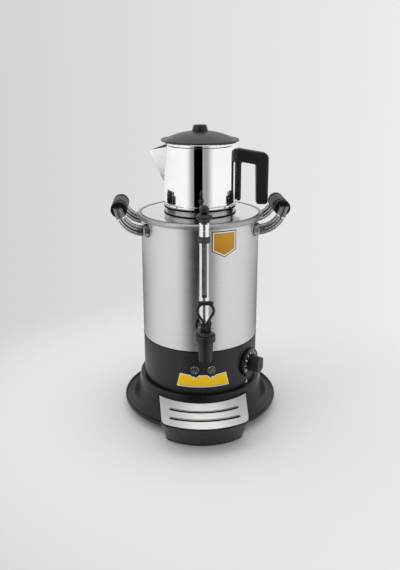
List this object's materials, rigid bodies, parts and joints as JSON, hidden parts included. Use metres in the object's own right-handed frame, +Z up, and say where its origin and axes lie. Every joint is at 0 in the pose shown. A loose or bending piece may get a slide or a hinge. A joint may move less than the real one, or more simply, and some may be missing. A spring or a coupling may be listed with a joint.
{
  "type": "electric tea urn",
  "caption": "Electric tea urn: steel tank on a black heater base with front tap, gauge glass, drip tray, dial, side handles and a lidded steel teapot on top.",
  "frame": {"origin": "tank axis where it meets the plane of the rubber feet", "axes": "+Z up along the tank axis, -Y to the front where the tap is, +X to the viewer's right, the side of the dial and of the teapot handle"},
  "size_m": [0.297, 0.3177, 0.5011],
  "materials": {
    "black_gloss": "semi-gloss black heat-proof plastic",
    "black_matte": "matt black nylon",
    "bakelite": "black moulded bakelite with a satin skin",
    "black_enamel": "semi-gloss black enamel on steel",
    "lid_black": "satin black coating on aluminium",
    "rubber": "black rubber",
    "seal_rubber": "food-grade silicone rubber",
    "zinc_sheet": "galvanised steel sheet",
    "zinc_steel": "zinc-plated steel",
    "tank_steel": "stainless steel brushed round the tank",
    "bright_steel": "mirror-polished stainless steel",
    "element_steel": "dull heat-tinted stainless tube",
    "grey_metal": "polished aluminium casting",
    "chrome": "bright chrome plate",
    "brass": "turned brass",
    "ivory_plastic": "ivory electrical plastic",
    "green_lens": "translucent green lens",
    "amber_lens": "translucent amber lens",
    "yellow_label": "printed yellow aluminium plate",
    "gold_label": "plain gold-orange enamelled badge blank",
    "clear_glass": "clear glass tube"
  },
  "bodies": {
    "urn": {"base_housing": "black_gloss", "base_plate": "zinc_sheet", "foot_ring": "rubber", "nose_feet": "rubber", "tie_studs": "zinc_steel", "tie_nuts": "zinc_steel", "heater_band": "black_enamel", "tank_shell": "tank_steel", "heating_element": "element_steel", "element_nuts": "brass", "thermostat_body": "ivory_plastic", "thermostat_screws": "zinc_steel", "thermostat_bulb": "brass", "bulb_clips": "zinc_steel", "thermal_cutout": "black_matte", "terminal_block": "ivory_plastic", "lamp_bezels": "black_gloss", "lamp_lens_green": "green_lens", "lamp_lens_amber": "amber_lens", "lamp_bodies": "black_matte", "indicator_plate": "yellow_label", "badge_plate": "gold_label", "cable_gland": "black_matte", "gland_nut": "black_matte", "arm_bosses": "grey_metal", "handle_arms_left": "grey_metal", "handle_arms_right": "grey_metal", "grip_left": "bakelite", "grip_right": "bakelite", "grip_rings": "chrome", "grip_rods": "zinc_steel", "tap_body": "bakelite", "tap_seal": "seal_rubber", "shank_seal": "seal_rubber", "shank_nut": "brass", "gauge_cup": "chrome", "gauge_glass": "clear_glass", "gauge_washers": "seal_rubber", "gauge_clip": "black_matte", "gauge_ferrule": "chrome", "gauge_finial": "bakelite", "tap_bonnet": "bakelite"},
    "tap_stem": {"valve_stem": "zinc_steel", "valve_cup": "seal_rubber", "lever_pin": "zinc_steel"},
    "tap_lever": {"tap_lever": "bakelite"},
    "dial": {"dial_knob": "black_gloss", "dial_shaft": "zinc_steel"},
    "drip_tray": {"drip_tray": "black_gloss"},
    "drip_grille": {"drip_grille": "bright_steel"},
    "tank_lid": {"tank_lid": "bright_steel", "seat_ring": "bright_steel"},
    "teapot": {"pot_body": "bright_steel", "pot_base": "tank_steel", "pot_spout": "bright_steel", "pot_handle": "bakelite", "handle_studs": "zinc_steel"},
    "teapot_lid": {"pot_lid": "lid_black", "pot_knob": "bakelite", "knob_screw": "zinc_steel"}
  },
  "joints": [
    {"name": "valve_lift", "type": "slide", "parent": "urn", "child": "tap_stem", "axis": [0, 0, 1], "range_m": [0, 0.003]},
    {"name": "lever_tilt", "type": "hinge", "parent": "tap_stem", "child": "tap_lever", "pos_m": [0, -0.155, 0.2073], "axis": [1, 0, 0], "range_deg": [0, 45], "stiffness_Nm_per_rad": 0.05, "springref_deg": -17.19},
    {"name": "dial_turn", "type": "hinge", "parent": "urn", "child": "dial", "pos_m": [0.08058, -0.05854, 0.102], "axis": [0.809, -0.5878, 0], "range_deg": [0, 270]},
    {"name": "tray_slide", "type": "slide", "parent": "urn", "child": "drip_tray", "axis": [0, -1, 0], "range_m": [0, 0.1]},
    {"name": "grille_lift", "type": "slide", "parent": "drip_tray", "child": "drip_grille", "axis": [0, -0.0872, 0.9962], "range_m": [0, 0.03]},
    {"name": "lid_lift", "type": "slide", "parent": "urn", "child": "tank_lid", "axis": [0, 0, 1], "range_m": [0, 0.08]},
    {"name": "teapot_lift", "type": "slide", "parent": "tank_lid", "child": "teapot", "axis": [0, 0, 1], "range_m": [0, 0.08]},
    {"name": "pot_lid_lift", "type": "slide", "parent": "teapot", "child": "teapot_lid", "axis": [0, 0, 1], "range_m": [0, 0.06]}
  ],
  "couplings": [
    {"joint": "lever_tilt", "follows": "valve_lift", "rad_per_m": 261.8}
  ]
}
